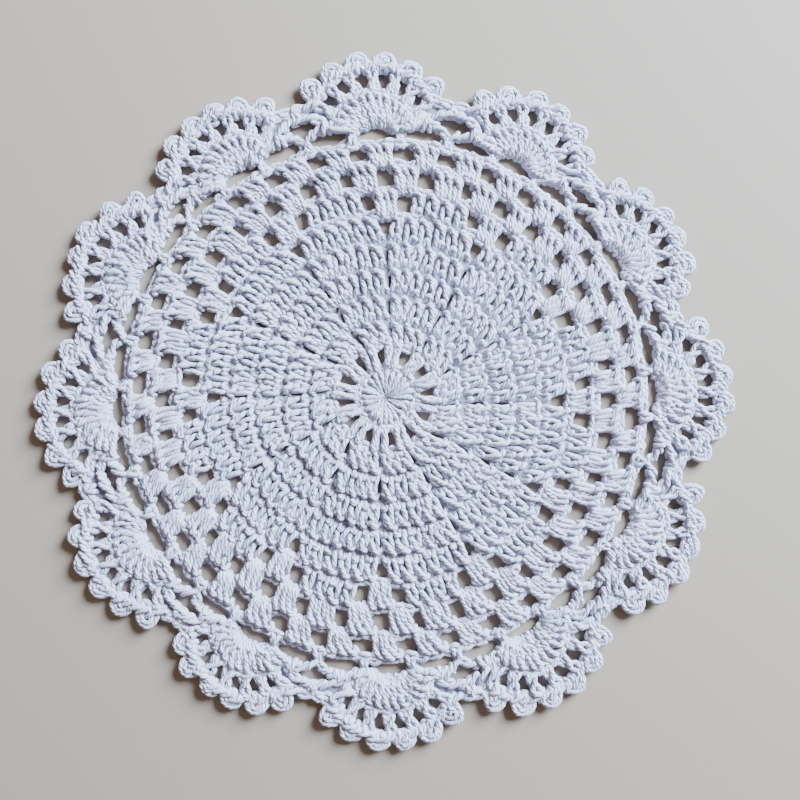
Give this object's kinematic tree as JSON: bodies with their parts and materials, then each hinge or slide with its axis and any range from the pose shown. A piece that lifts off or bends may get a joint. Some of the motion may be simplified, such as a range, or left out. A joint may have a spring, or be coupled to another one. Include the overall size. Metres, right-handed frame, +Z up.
{
  "type": "crocheted lace doily",
  "caption": "Flat round openwork doily of thick white cotton, a close middle opening into rings of holes and a scalloped edge with small loops; protects and dresses a table top.",
  "frame": {"origin": "centre of the rounds, on the underside", "axes": "+Z up out of the worked face, away from the table; +Y towards the scallop at the far side; the disc lies in the XY plane"},
  "size_m": [0.3612, 0.3598, 0.0046],
  "materials": {
    "cotton_yarn": "matte plied cotton string, white with a cool cast"
  },
  "bodies": {
    "root": {"doily": "cotton_yarn"}
  },
  "joints": []
}
